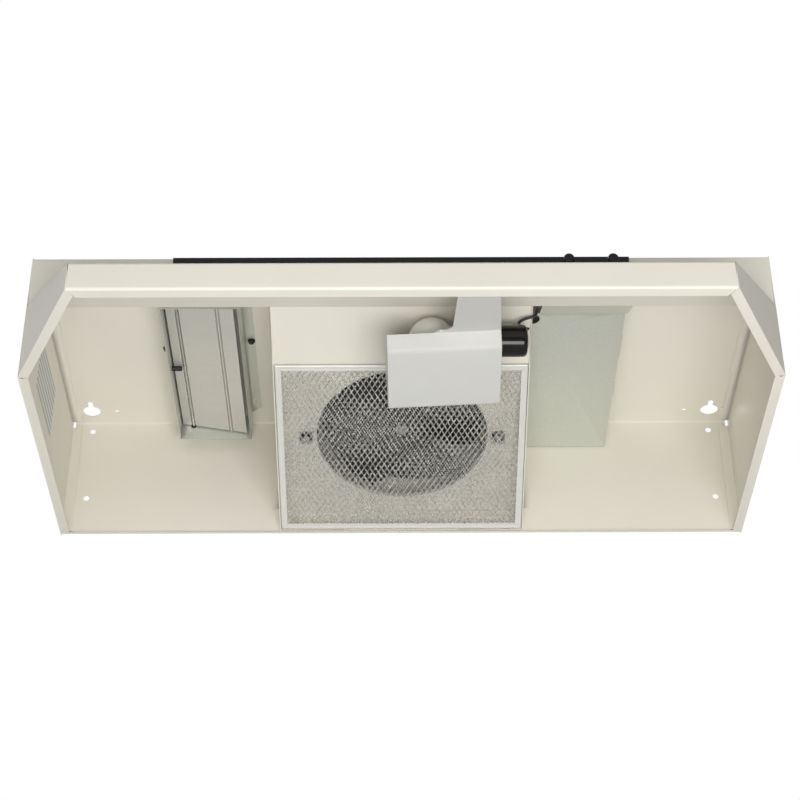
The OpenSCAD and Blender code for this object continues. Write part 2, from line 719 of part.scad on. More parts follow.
module wiring_cover() {
    notch = [cover_x[0], -246];
    front = [fascia_y + 1.5, 2.5 - fascia_h];
    rear_y = inside_y - 1;
    strip_x = [144, cover_x[1] + 2.5];
    corner = bend_r + 0.5;
    // the floor, and the strip that slopes down to the foot of the fascia
    floor_path = [front, [cover_y, cover_z], [rear_y, cover_z]];
    color(zinc) {
        difference() {
            slab_x(cover_x[0], strip_x[1]) polygon(strip(floor_path, cover_t));
            translate([notch[0], notch[1], cover_z - cut])
                cylinder(r = 9, h = cover_t + 2 * cut, $fn = 48);
            translate([cover_x[0] - cut, -box_d, -2 * fascia_h])
                cube([strip_x[0] - cover_x[0] + cut, box_d + cover_y, 3 * fascia_h]);
            translate([cover_x[1], cover_y, -2 * fascia_h])
                cube([strip_x[1], box_d, 3 * fascia_h]);
        }
        slab_x(cover_x[1] - cover_t, cover_x[1]) polygon([[rear_y, -corner],
            [-corner, inside_z], [corner - box_d, inside_z], [fascia_y + 0.5, -corner],
            [fascia_y + 1, -40], [front[0] + 0.5, front[1] + 0.6], [cover_y, cover_z + 0.4],
            [rear_y, cover_z + 0.4]]);
        for (t = [[-171, 41], [-82, 26]]) translate([cover_x[1] - cover_t / 2, t[0], inside_z - 1.2])
            cube([8, t[1], 0.9]);
    }
}
module wire_nuts() {
    for (k = [0, 1]) color([0.9, 0.5, 0.15]) translate([170 + 26 * k, -110 - 30 * k, -22])
        rotate([90, 0, 20]) cylinder(d1 = 13, d2 = 8, h = 24, $fn = 32);
}
module ground_screw() {
    color([0.25, 0.5, 0.3]) translate([212, -60, inside_z]) rotate([180, 0, 0]) {
        cylinder(d = 9, h = 1, $fn = 32);
        cylinder(d = 7, h = 3.6, $fn = 6);
    }
}
module switch_body(x) {
    size = [24, 23, 22];
    difference() {
        union() {
            translate([x - size[0] / 2, fascia_y, knob_z - size[2] / 2]) cube(size);
            translate([x, -box_d - strip_t - 1.5, knob_z]) rotate([-90, 0, 0])
                cylinder(r = bushing_r, h = strip_t + sheet + 2, $fn = 48);
        }
        translate([x, -box_d - 20, knob_z]) rotate([-90, 0, 0])
            cylinder(r = switch_shaft_r + bearing_gap, h = 35, $fn = 48);
    }
}
module switch_shaft(x) {
    translate([x, knob_y - 12, knob_z]) rotate([-90, 0, 0])
        cylinder(r = switch_shaft_r, h = 30, $fn = 48);
}
module knob(x) {
    l = 16;
    translate([x, knob_y - l, knob_z]) rotate([-90, 0, 0]) difference() {
        union() {
            cylinder(d1 = knob_d - 1.6, d2 = knob_d, h = 1.2, $fn = 48);
            translate([0, 0, 1.2]) cylinder(d = knob_d, h = l - 1.2, $fn = 48);
        }
        translate([0, 0, l - 12]) cylinder(r = switch_shaft_r, h = 13, $fn = 48);
    }
}
module fan_switch() {
    color(black) switch_body(knob_x[1]);
}
module light_switch() {
    color(black) switch_body(knob_x[0]);
}
module fan_shaft() {
    color(zinc) switch_shaft(knob_x[1]);
}
module light_shaft() {
    color(zinc) switch_shaft(knob_x[0]);
}
module fan_knob() {
    color(black) knob(knob_x[1]);
}
module light_knob() {
    color(black) knob(knob_x[0]);
}
module control_strip() {
    slant = 1.6;
    color(black) difference() {
        translate([0, -box_d, 0]) rotate([90, 0, 0]) linear_extrude(strip_t) polygon([
            [-strip_l / 2, -2], [strip_l / 2, -2], [strip_l / 2 - slant, -2 - strip_h],
            [slant - strip_l / 2, -2 - strip_h]]);
        for (x = knob_x) drill_y(x, knob_z, 2 * bushing_r + 0.2, -box_d - 2 * strip_t, cut - box_d);
    }
}

// ---- Duct connector, stowed under the top panel ----

module damper_collar() {
    wall = 0.9;
    z0 = inside_z - sheet - collar_h;
    y0 = collar_y - collar_l;
    color(zinc) difference() {
        union() {
            translate([collar_x, y0, z0]) cube([collar_w, collar_l, collar_h + sheet]);
            translate([collar_x - 7, y0 + 6, inside_z - wall]) cube([8, collar_l - 24, wall]);
            // right flange, its rear corner cut off
            translate([collar_x + collar_w, y0 + 6, inside_z - wall]) linear_extrude(wall)
                polygon([[-1, 0], [11.2, 0], [11.2, collar_l - 26], [1.5, collar_l - 17],
                    [-1, collar_l - 17]]);
        }
        translate([collar_x + wall, y0 + wall, z0 - cut])
            cube([collar_w - 2 * wall, collar_l - 2 * wall, collar_h + sheet + 2 * cut]);
        translate([flap_pivot[0], y0 - cut, flap_pivot[1]]) rotate([-90, 0, 0])
            cylinder(d = 6, h = collar_l + 2 * cut, $fn = 32);
        collar_screw_holes(z0);
        drill_z(-165.3, -50, 4, z0, cut);
        translate([collar_x - cut, stop_y, stop_z]) rotate([0, 90, 0])
            cylinder(d = stop_hole_d, h = 3, $fn = 32);
    }
}
// Frame of the flap: x runs across it from the pivot, tilted as it hangs
module on_flap() {
    translate([flap_pivot[0], 0, flap_pivot[1]]) rotate([0, flap_tilt, 0]) children();
}
module damper_flap() {
    flap_x = [-12.2, 62];
    y0 = collar_y - collar_l + 3;
    flap_l = collar_l - 6;
    bead = 1.1;
    color(bright) on_flap() difference() {
        union() {
            translate([flap_x[0], y0, -0.4]) cube([flap_x[1] - flap_x[0], flap_l, 0.8]);
            translate([0, y0, 0]) rotate([-90, 0, 0]) cylinder(r = 2.6, h = flap_l, $fn = 32);
            for (x = [42.2, 46.2]) translate([x, y0 + 2, -0.4]) rotate([-90, 0, 0])
                cylinder(r = bead, h = flap_l - 4, $fn = 24);
        }
        translate([0, y0 - cut, 0]) rotate([-90, 0, 0])
            cylinder(d = rod_d, h = flap_l + 2 * cut, $fn = 32);
    }
}
module damper_rod() {
    color(zinc) on_flap() translate([0, collar_y - collar_l - 2.5, 0]) rotate([-90, 0, 0])
        cylinder(d = rod_d, h = collar_l + 5, $fn = 32);
}
module damper_bushes() {
    color(black) for (y = [collar_y - 1.9, collar_y - collar_l - 1.1])
        translate([flap_pivot[0], y, flap_pivot[1]]) rotate([-90, 0, 0])
            tube(2.95, rod_d / 2 + bearing_gap, 3);
}
module damper_screws() {
    color(black) for (p = collar_screws) translate([p[0], p[1], inside_z - 0.9])
        rotate([180, 0, 0]) hex_screw(collar_screw_d, 6.4, 3.6, 1.8);
}
// Rubber pin through the collar's left wall, under the flap's edge
module damper_stop() {
    wall = 0.9;
    l = 12;
    color(black) translate([collar_x, stop_y, stop_z]) rotate([0, -90, 0]) {
        cylinder(d = 7, h = 1.2, $fn = 32);
        translate([0, 0, -wall - 0.2]) cylinder(d = stop_hole_d - 0.2, h = wall + 0.4, $fn = 32);
        translate([0, 0, -l]) cylinder(d = stop_d, h = l - wall - 0.02, $fn = 32);
    }
}

wrapper_panel();
left_end_panel();
right_end_panel();
top_duct_knockout();
rear_duct_knockout();
wiring_knockouts();
plenum_left_side();
plenum_right_side();
fan_plate();
motor_strap();
strap_washers();
strap_grommets();
strap_screws();
motor_front_bracket();
motor_rear_bracket();
motor_stator();
motor_coil();
motor_bolts();
front_bearing();
rear_bearing();
motor_shaft();
motor_rotor();
fan_blade();
blade_nut();
filter_frame();
filter_mesh();
filter_rail();
filter_catches();
lamp_socket();
socket_shell();
socket_bracket();
bulb_glass();
bulb_cap();
lamp_lens();
lamp_lead();
motor_lead();
wiring_cover();
wire_nuts();
ground_screw();
control_strip();
fan_switch();
light_switch();
fan_shaft();
light_shaft();
fan_knob();
light_knob();
damper_collar();
damper_flap();
damper_rod();
damper_bushes();
damper_screws();
damper_stop();
rating_plate();
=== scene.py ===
"""Looks of the under cabinet range hood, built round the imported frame. Metres, -Y is the front, +Z is up."""

import math

import bmesh
import bpy
import numpy as np
from mathutils import Matrix, Vector


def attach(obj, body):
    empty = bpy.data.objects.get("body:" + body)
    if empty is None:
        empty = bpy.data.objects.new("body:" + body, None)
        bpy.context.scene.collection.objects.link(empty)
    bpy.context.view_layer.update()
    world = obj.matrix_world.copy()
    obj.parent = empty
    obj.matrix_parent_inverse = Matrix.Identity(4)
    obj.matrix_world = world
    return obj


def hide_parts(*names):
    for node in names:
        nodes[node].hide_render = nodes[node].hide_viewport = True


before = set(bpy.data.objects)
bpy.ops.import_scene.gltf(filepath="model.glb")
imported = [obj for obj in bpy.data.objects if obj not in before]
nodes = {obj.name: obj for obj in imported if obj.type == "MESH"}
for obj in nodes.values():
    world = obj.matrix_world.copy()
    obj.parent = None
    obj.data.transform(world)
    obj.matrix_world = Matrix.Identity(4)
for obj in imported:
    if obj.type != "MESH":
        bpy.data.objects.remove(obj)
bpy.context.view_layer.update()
MM = 0.001
SEED = 7
rng = np.random.default_rng(SEED)

# Fan plate, filter, lamp and flap, as in the CAD, in millimetres and degrees
PLATE_TILT, PLATE_Z0 = 13.7, -120.3
FAN_X, FAN_Y = 1.0, -112.0
FILTER_Y, FILTER_TILT, FILTER_GAP = -213.5, 19.6, 3.5
FILTER_W, FILTER_L, FILTER_T, FILTER_RIM = 266.7, 222.0, 2.4, 7.0
LAMP_Y, LAMP_Z = -269.0, -81.0
SOCKET_X0, SOCKET_X1, SOCKET_R = 74.0, 129.5, 16.5
GLOBE_X, GLOBE_R, NECK_R = 31.0, 24.5, 12.6
CAP_X0, CAP_R = 66.0, 13.0
LENS_X0, LENS_X1, LENS_T = -15.0, 100.0, 1.8
LENS_ROLL, LENS_PIVOT = 3.0, Vector((100.0, 0.0, -100.0))
FLAP_X, FLAP_Z, FLAP_TILT = -237.0, -15.0, 9.8
COLLAR_Y, COLLAR_L = -15.0, 247.0
KNOB_X, KNOB_Z, KNOB_Y = (171.0, 216.0), -17.0, -309.8


def plate_z(y):
    """Height of the fan plate's lower face."""
    return PLATE_Z0 - math.tan(math.radians(PLATE_TILT)) * y


def filter_z(y):
    """Height of the filter's lower face."""
    return plate_z(FILTER_Y) - FILTER_GAP - math.tan(math.radians(FILTER_TILT)) * (y - FILTER_Y)


def place(point, angle=0.0, axis="X"):
    """Matrix of a local frame in millimetres, turned about one axis, to the row frame in metres."""
    turn = Matrix.Rotation(math.radians(angle), 4, axis)
    return Matrix.Scale(MM, 4) @ Matrix.Translation(point) @ turn


ROW = place((0, 0, 0))
ON_PLATE = place((FAN_X, FAN_Y, plate_z(FAN_Y)), -PLATE_TILT)
ON_FILTER = place((0, FILTER_Y, filter_z(FILTER_Y)), -FILTER_TILT)
ON_LENS = place(LENS_PIVOT, -LENS_ROLL, "Y") @ Matrix.Translation(-LENS_PIVOT)
ON_FLAP = place((FLAP_X, 0, FLAP_Z), FLAP_TILT, "Y")
ALONG_Y = Matrix.Rotation(math.radians(-90), 4, "X")
ALONG_X = Matrix.Rotation(math.radians(90), 4, "Y")
DOWN = Matrix.Rotation(math.pi, 4, "X")

# ---- Camera, light and floor ----

scene = bpy.context.scene
scene.view_settings.view_transform = "Standard"
scene.view_settings.look = "None"

CAM_POINT = (-8.3, -1893.8, -1271.4)
CAM_ELEVATION, CAM_YAW, CAM_ROLL = 34.52, -0.232, -0.309
CAM_LENS, SENSOR = 88.6, 36.0
CAM_CLIP = (0.05, 50)
AMBIENT, SIDE_SHADE = 0.36, 0.12
AMBIENT_COLOUR = (1.0, 1.0, 0.985, 1)
# name, place, target, size, power and colour of each lamp, in metres and watts
LIGHTS = (("key", (0.22, -1.45, -1.50), (0, -0.2, -0.08), (1.5, 0.8), 27, (1, 1, 0.99)),
          ("top", (-0.6, 1.1, 1.7), (0, -0.2, -0.05), (1.6, 1.6), 20, (1, 1, 1)),
          ("front", (-0.2, -3.1, -0.35), (0, -0.3, -0.08), (1.2, 0.6), 14, (1, 1, 1)))
FLOOR_Z, FLOOR_SIZE = -1.70, 40.0


def add_camera():
    """Camera below the front bar, looking up into the hood."""
    data = bpy.data.cameras.new("camera")
    data.lens, data.sensor_width, data.sensor_fit = CAM_LENS, SENSOR, "HORIZONTAL"
    data.clip_start, data.clip_end = CAM_CLIP
    cam = bpy.data.objects.new("camera", data)
    scene.collection.objects.link(cam)
    upright = Matrix.Rotation(math.radians(90 + CAM_ELEVATION), 4, "X")
    yaw = Matrix.Rotation(math.radians(CAM_YAW), 4, "Z")
    roll = Matrix.Rotation(math.radians(CAM_ROLL), 4, "Z")
    cam.matrix_world = Matrix.Translation(Vector(CAM_POINT) * MM) @ yaw @ upright @ roll
    scene.camera = cam


def add_area(name, point, target, size, power, colour):
    """Rectangular soft light that faces its target."""
    data = bpy.data.lights.new(name, "AREA")
    data.shape, data.size, data.size_y = "RECTANGLE", size[0], size[1]
    data.energy, data.color = power, colour
    lamp = bpy.data.objects.new(name, data)
    scene.collection.objects.link(lamp)
    lamp.location = point
    lamp.rotation_euler = (Vector(target) - Vector(point)).to_track_quat("-Z", "Y").to_euler()


def add_world():
    """White behind the object, and a softer light round it that is a little weaker from the right."""
    world = bpy.data.worlds.new("studio")
    scene.world = world
    world.use_nodes = True
    tree = world.node_tree
    tree.nodes.clear()
    out = tree.nodes.new("ShaderNodeOutputWorld")
    seen = tree.nodes.new("ShaderNodeBackground")
    seen.inputs["Color"].default_value = (1, 1, 1, 1)
    around = tree.nodes.new("ShaderNodeBackground")
    around.inputs["Color"].default_value = AMBIENT_COLOUR
    mix = tree.nodes.new("ShaderNodeMixShader")
    path = tree.nodes.new("ShaderNodeLightPath")
    coord = tree.nodes.new("ShaderNodeTexCoord")
    split = tree.nodes.new("ShaderNodeSeparateXYZ")
    tree.links.new(coord.outputs["Generated"], split.inputs[0])
    strength = spread(tree, split.outputs["X"], AMBIENT * (1 + SIDE_SHADE), AMBIENT * (1 - SIDE_SHADE),
                      (-1.0, 1.0))
    tree.links.new(strength, around.inputs["Strength"])
    tree.links.new(path.outputs["Is Camera Ray"], mix.inputs["Fac"])
    tree.links.new(around.outputs[0], mix.inputs[1])
    tree.links.new(seen.outputs[0], mix.inputs[2])
    tree.links.new(mix.outputs[0], out.inputs["Surface"])


# ---- Materials ----

# the part of a noise's range in which nearly all of its values lie
NOISE_RANGE = (0.3, 0.7)


def ramp(tree, fac, low, high):
    """Colour that runs from low to high across the noise's range."""
    node = tree.nodes.new("ShaderNodeValToRGB")
    for stop, position, colour in zip(node.color_ramp.elements, NOISE_RANGE, (low, high)):
        stop.position, stop.color = position, (*colour, 1)
    tree.links.new(fac, node.inputs["Fac"])
    return node.outputs["Color"]


def spread(tree, fac, low, high, span=NOISE_RANGE):
    """Number that runs from low to high as fac goes across span."""
    node = tree.nodes.new("ShaderNodeMapRange")
    for name, value in zip(("From Min", "From Max", "To Min", "To Max"), (*span, low, high)):
        node.inputs[name].default_value = value
    tree.links.new(fac, node.inputs["Value"])
    return node.outputs["Result"]


def noise(tree, scale, stretch=(1, 1, 1), detail=3.0):
    """Noise in object space, with its grain stretched along the axes of small stretch."""
    coord = tree.nodes.new("ShaderNodeTexCoord")
    mapping = tree.nodes.new("ShaderNodeMapping")
    mapping.inputs["Scale"].default_value = stretch
    node = tree.nodes.new("ShaderNodeTexNoise")
    node.inputs["Scale"].default_value = scale
    node.inputs["Detail"].default_value = detail
    tree.links.new(coord.outputs["Object"], mapping.inputs["Vector"])
    tree.links.new(mapping.outputs["Vector"], node.inputs["Vector"])
    return node.outputs["Fac"]


def cells(tree, scale):
    """A number for each grain of a crystalline surface."""
    coord = tree.nodes.new("ShaderNodeTexCoord")
    node = tree.nodes.new("ShaderNodeTexVoronoi")
    node.inputs["Scale"].default_value = scale
    split = tree.nodes.new("ShaderNodeSeparateColor")
    tree.links.new(coord.outputs["Object"], node.inputs["Vector"])
    tree.links.new(node.outputs["Color"], split.inputs["Color"])
    return split.outputs["Red"]


def bands(tree, scale):
    """Even bands stacked up the object's z."""
    coord = tree.nodes.new("ShaderNodeTexCoord")
    node = tree.nodes.new("ShaderNodeTexWave")
    node.bands_direction = "Z"
    node.inputs["Scale"].default_value = scale
    tree.links.new(coord.outputs["Object"], node.inputs["Vector"])
    return node.outputs["Fac"]


def material(name, colour, rough, metallic=0.0, vary=0.03, rough_vary=0.06, scale=40.0, grain=900.0,
             bump=0.05, depth=0.0001, stretch=(1, 1, 1), pattern=None, tint=None, **sockets):
    """Principled material whose colour, roughness and bump come from noise at the surface's own scale."""
    mat = bpy.data.materials.new(name)
    mat.use_nodes = True
    tree = mat.node_tree
    shader = tree.nodes["Principled BSDF"]
    fac = pattern(tree) if pattern else noise(tree, scale, stretch)
    low = [c * (1 - vary) for c in colour]
    high = [min(1.0, c * (1 + vary)) for c in (tint or colour)]
    tree.links.new(ramp(tree, fac, low, high), shader.inputs["Base Color"])
    fine = noise(tree, grain, stretch, 2.0)
    tree.links.new(spread(tree, fac, rough - rough_vary, rough + rough_vary), shader.inputs["Roughness"])
    bumps = tree.nodes.new("ShaderNodeBump")
    bumps.inputs["Strength"].default_value = bump
    bumps.inputs["Distance"].default_value = depth
    tree.links.new(fine, bumps.inputs["Height"])
    tree.links.new(bumps.outputs["Normal"], shader.inputs["Normal"])
    shader.inputs["Metallic"].default_value = metallic
    for key, value in sockets.items():
        shader.inputs[key.replace("_", " ")].default_value = value
    return mat


MATS = {
    "enamel": material("enamel", (0.79, 0.76, 0.675), 0.46, vary=0.012, rough_vary=0.05, scale=9.0,
                       grain=700.0, bump=0.05),
    "galvanised": material("galvanised", (0.65, 0.665, 0.60), 0.40, 0.45, vary=0.035, rough_vary=0.06,
                           grain=500.0, bump=0.1, pattern=lambda t: cells(t, 900.0)),
    "aluminium": material("aluminium", (0.66, 0.645, 0.60), 0.32, 0.45, vary=0.02, rough_vary=0.015,
                          scale=160.0, stretch=(0.25, 1, 1), grain=1400.0, bump=0.004),
    # strand colour runs from dark grey to near white a few millimetres apart: painted glints on the strands
    # and painted shade between them
    "filter_mesh": material("filter_mesh", (0.60, 0.58, 0.535), 0.26, 0.5, vary=0.6, rough_vary=0.1,
                            scale=620.0, grain=2500.0, bump=0.2, tint=(0.62, 0.61, 0.57)),
    "channel": material("channel", (0.79, 0.78, 0.74), 0.30, 0.25, vary=0.02, rough_vary=0.02, scale=90.0,
                        grain=1400.0, bump=0.02),
    "fan_paint": material("fan_paint", (0.012, 0.012, 0.013), 0.6, vary=0.15, scale=120.0, grain=1500.0,
                          bump=0.15),
    "core_steel": material("core_steel", (0.30, 0.30, 0.31), 0.5, 0.9, vary=0.15, grain=1500.0, bump=0.3,
                           pattern=lambda t: bands(t, 300.0)),
    "copper": material("copper", (0.60, 0.28, 0.13), 0.32, 0.9, vary=0.08, scale=200.0, bump=0.1),
    "bronze": material("bronze", (0.55, 0.38, 0.16), 0.4, 0.9, vary=0.08, scale=300.0, bump=0.2),
    "plated_steel": material("plated_steel", (0.66, 0.66, 0.64), 0.3, 0.95, vary=0.05, scale=220.0,
                             bump=0.1),
    "black_phenolic": material("black_phenolic", (0.006, 0.005, 0.0045), 0.10, vary=0.2, rough_vary=0.04,
                               scale=120.0, grain=900.0, bump=0.04, Coat_Weight=0.15, Coat_Roughness=0.06,
                               Specular_IOR_Level=0.3),
    "black_plastic": material("black_plastic", (0.008, 0.008, 0.009), 0.42, vary=0.15, scale=150.0,
                              grain=2600.0, bump=0.25, depth=0.00005),
    "black_oxide": material("black_oxide", (0.02, 0.02, 0.021), 0.36, 0.4, vary=0.25, scale=500.0,
                            grain=2500.0, bump=0.2),
    "black_rubber": material("black_rubber", (0.006, 0.006, 0.006), 0.45, vary=0.2, scale=400.0, bump=0.3),
    "lead_jacket": material("lead_jacket", (0.016, 0.016, 0.018), 0.3, vary=0.2, scale=300.0, bump=0.1),
    "brass_shell": material("brass_shell", (0.72, 0.55, 0.25), 0.28, 0.95, vary=0.06, scale=250.0),
    "bulb_glass": material("bulb_glass", (0.86, 0.85, 0.80), 0.12, vary=0.01, rough_vary=0.02, scale=60.0,
                           bump=0.02, Coat_Weight=0.5, Coat_Roughness=0.05),
    "bulb_metal": material("bulb_metal", (0.72, 0.68, 0.56), 0.3, 0.9, vary=0.06, scale=250.0),
    "white_lens": material("white_lens", (0.64, 0.635, 0.615), 0.5, vary=0.008, rough_vary=0.03, scale=30.0,
                           grain=600.0, bump=0.03, Subsurface_Weight=0.12, Subsurface_Scale=0.004,
                           Coat_Weight=0.05, Coat_Roughness=0.3),
    "nut_plastic": material("nut_plastic", (0.80, 0.33, 0.05), 0.4, vary=0.05, scale=200.0),
    "ground_paint": material("ground_paint", (0.06, 0.25, 0.09), 0.4, 0.3, vary=0.1, scale=300.0),
    "blank_label": material("blank_label", (0.40, 0.42, 0.42), 0.4, vary=0.12, scale=60.0, grain=1200.0,
                            tint=(0.66, 0.68, 0.67), pattern=lambda t: bands(t, 38.0)),
}

# ---- Mesh helpers ----

WELD, CAD_WELD = 1e-6, 2e-6
FLAT_ANGLE = 0.5


def finish_piece(obj, body, slot_name, *replaced, finish=None):
    """Material (the finish, or else the one named like the slot), body, and the CAD nodes that the piece
    stands for, which are hidden.
    """
    obj.data.materials.clear()
    obj.data.materials.append(MATS[finish or slot_name])
    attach(obj, body)
    if replaced:
        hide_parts(*replaced)
    return obj


def new_object(name, verts, faces, matrix=ROW, smooth_angle=35.0):
    """Mesh from points in the local frame of matrix, shaded smooth up to an angle."""
    mesh = bpy.data.meshes.new(name)
    mesh.from_pydata([matrix @ Vector(v) for v in verts], [], [tuple(f) for f in faces])
    tidy(mesh, smooth_angle)
    obj = bpy.data.objects.new(name, mesh)
    scene.collection.objects.link(obj)
    return obj


def tidy(mesh, smooth_angle=35.0):
    """Doubled points welded, faces turned outwards and shaded smooth up to an angle."""
    work = bmesh.new()
    work.from_mesh(mesh)
    bmesh.ops.remove_doubles(work, verts=work.verts, dist=WELD)
    bmesh.ops.recalc_face_normals(work, faces=work.faces)
    work.to_mesh(mesh)
    work.free()
    mesh.shade_smooth()
    mesh.set_sharp_from_angle(angle=math.radians(smooth_angle))
    mesh.update()


def modifier(obj, kind, **settings):
    """Modifier of one kind with its settings."""
    mod = obj.modifiers.new(kind.lower(), kind)
    for key, value in settings.items():
        setattr(mod, key, value)
    return mod


def bevel(obj, width, segments=2, angle=35.0):
    """Bevel in millimetres on the edges sharper than an angle."""
    return modifier(obj, "BEVEL", width=width * MM, segments=segments, limit_method="ANGLE",
                    angle_limit=math.radians(angle), harden_normals=False)


def apply_all(obj):
    """Replaces the object's mesh by what its modifiers make of it."""
    bpy.context.view_layer.update()
    dg = bpy.context.evaluated_depsgraph_get()
    mesh = bpy.data.meshes.new_from_object(obj.evaluated_get(dg))
    obj.modifiers.clear()
    obj.data = mesh
    return obj


def dressed(node, slot_name, body, edge=0.0):
    """Copy of a CAD node with its bends and rounds shaded smooth and its cut edges eased."""
    mesh = nodes[node].data.copy()
    mesh.name = node + "_finish"
    work = bmesh.new()
    work.from_mesh(mesh)
    bmesh.ops.remove_doubles(work, verts=work.verts, dist=CAD_WELD)
    if edge:
        bmesh.ops.dissolve_limit(work, angle_limit=math.radians(FLAT_ANGLE), verts=work.verts,
                                 edges=work.edges)
    work.to_mesh(mesh)
    work.free()
    tidy(mesh)
    obj = bpy.data.objects.new(node + "_finish", mesh)
    scene.collection.objects.link(obj)
    if edge:
        bevel(obj, edge, angle=50)
        apply_all(obj)
        tidy(obj.data)
    # flat faces keep their own normals, and the bends between them take up the turn
    modifier(obj, "WEIGHTED_NORMAL", mode="FACE_AREA", weight=100, keep_sharp=True)
    apply_all(obj)
    return finish_piece(obj, body, slot_name, node)


def ring_faces(rings, n, closed=False):
    """Faces between rings of n points, with two end caps unless the last ring meets the first."""
    faces = []
    for i in range(rings if closed else rings - 1):
        a, b = i * n, ((i + 1) % rings) * n
        faces += [(a + k, a + (k + 1) % n, b + (k + 1) % n, b + k) for k in range(n)]
    if not closed:
        faces += [tuple(range(n - 1, -1, -1)), tuple((rings - 1) * n + k for k in range(n))]
    return faces


def lathe(name, profile, matrix, segments=64, closed=False, angle=30.0, shape=None):
    """Turned piece: profile is a list of (radius, height) along the local z.

    shape(row, turn, radius) gives a row's own radius at each turn where the piece isn't round.
    """
    verts = []
    for i, (r, z) in enumerate(profile):
        for k in range(segments):
            a = 2 * math.pi * k / segments
            rad = shape(i, a, r) if shape else r
            verts.append((rad * math.cos(a), rad * math.sin(a), z))
    return new_object(name, verts, ring_faces(len(profile), segments, closed), matrix, angle)


def arc(cx, cy, r, a0, a1, n=6):
    """Points of a circle's arc between two angles in degrees."""
    turns = [math.radians(a0 + (a1 - a0) * i / n) for i in range(n + 1)]
    return [(cx + r * math.cos(a), cy + r * math.sin(a)) for a in turns]


def prism(name, outline, y0, y1, matrix, angle=35.0):
    """Outline in local x and z, run along local y."""
    verts = [(x, y, z) for y in (y0, y1) for x, z in outline]
    return new_object(name, verts, ring_faces(2, len(outline)), matrix, angle)


def smooth_path(points, per_span=6):
    """Catmull-Rom curve through points."""
    p = [Vector(q) for q in points]
    p = [2 * p[0] - p[1]] + p + [2 * p[-1] - p[-2]]
    out = []
    for i in range(1, len(p) - 2):
        for k in range(per_span):
            t = k / per_span
            out.append(0.5 * ((2 * p[i]) + (p[i + 1] - p[i - 1]) * t
                              + (2 * p[i - 1] - 5 * p[i] + 4 * p[i + 1] - p[i + 2]) * t * t
                              + (3 * p[i] - p[i - 1] - 3 * p[i + 1] + p[i + 2]) * t ** 3))
    return out + [p[-2]]


def tube(name, points, radius, matrix=ROW, sides=12, closed=False):
    """Round wire along points, its section carried along without twist."""
    p = [Vector(q) for q in points]
    n = len(p)
    verts, side = [], None
    for i in range(n):
        if closed:
            d = (p[(i + 1) % n] - p[i - 1]).normalized()
        else:
            d = (p[min(i + 1, n - 1)] - p[max(i - 1, 0)]).normalized()
        side = side or d.orthogonal()
        side = (side - d * side.dot(d)).normalized()
        up = d.cross(side)
        for k in range(sides):
            a = 2 * math.pi * k / sides
            verts.append(p[i] + radius * (math.cos(a) * side + math.sin(a) * up))
    return new_object(name, verts, ring_faces(n, sides, closed), matrix, 40)


def joined(name, parts):
    """One object in place of several."""
    work = bmesh.new()
    for part in parts:
        work.from_mesh(part.data)
        bpy.data.objects.remove(part)
    mesh = bpy.data.meshes.new(name)
    work.to_mesh(mesh)
    work.free()
    obj = bpy.data.objects.new(name, mesh)
    scene.collection.objects.link(obj)
    return obj


def block(name, lo, hi, matrix=ROW, edge=0.0):
    """Box with eased edges."""
    (a, b, c), (d, e, f) = lo, hi
    verts = [(x, y, z) for x in (a, d) for y in (b, e) for z in (c, f)]
    faces = [(0, 1, 3, 2), (4, 6, 7, 5), (0, 4, 5, 1), (2, 3, 7, 6), (0, 2, 6, 4), (1, 5, 7, 3)]
    obj = new_object(name, verts, faces, matrix, 35)
    if edge:
        bevel(obj, edge)
        apply_all(obj)
    return obj


# ---- Shell ----


def build_shell():
    """Sheet metal, its brackets and the strap's washers, all from the CAD."""
    for node in ("wrapper_panel", "left_end_panel", "right_end_panel", "plenum_left_side",
                 "plenum_right_side", "fan_plate", "filter_rail"):
        dressed(node, "enamel", "shell")
    dressed("filter_catches", "enamel", "shell", 0.25)
    dressed("wiring_cover", "galvanised", "shell")
    dressed("damper_collar", "galvanised", "shell")
    for node in ("motor_strap", "socket_bracket"):
        dressed(node, "galvanised", "shell", 0.3)
    dressed("strap_washers", "plated_steel", "shell", 0.2)


# ---- Filter ----

CELL_X, CELL_Y = 6.2, 11.2
STRAND_T, STRAND_TIP, STRAND_LAP = 0.3, 38.0, 0.2
STRAND_SPREAD = (0.85, 1.2)
SPARE_COLUMNS, SPARE_ROWS = 14, 18
MESH_TUCK = 1.5
# each layer's height, place of its grid, turn, wave, lift of its knots and width of its strands
MESH_LAYERS = {"filter_mesh_lower": (0.75, (0.0, 0.0), 0.0, 0.1, 0.12, 0.82),
               "filter_mesh_upper": (1.55, (1.5, 2.8), 3.5, 0.12, 0.1, 0.7)}
MITRE_GAP, FOLD_R = 0.12, 0.35


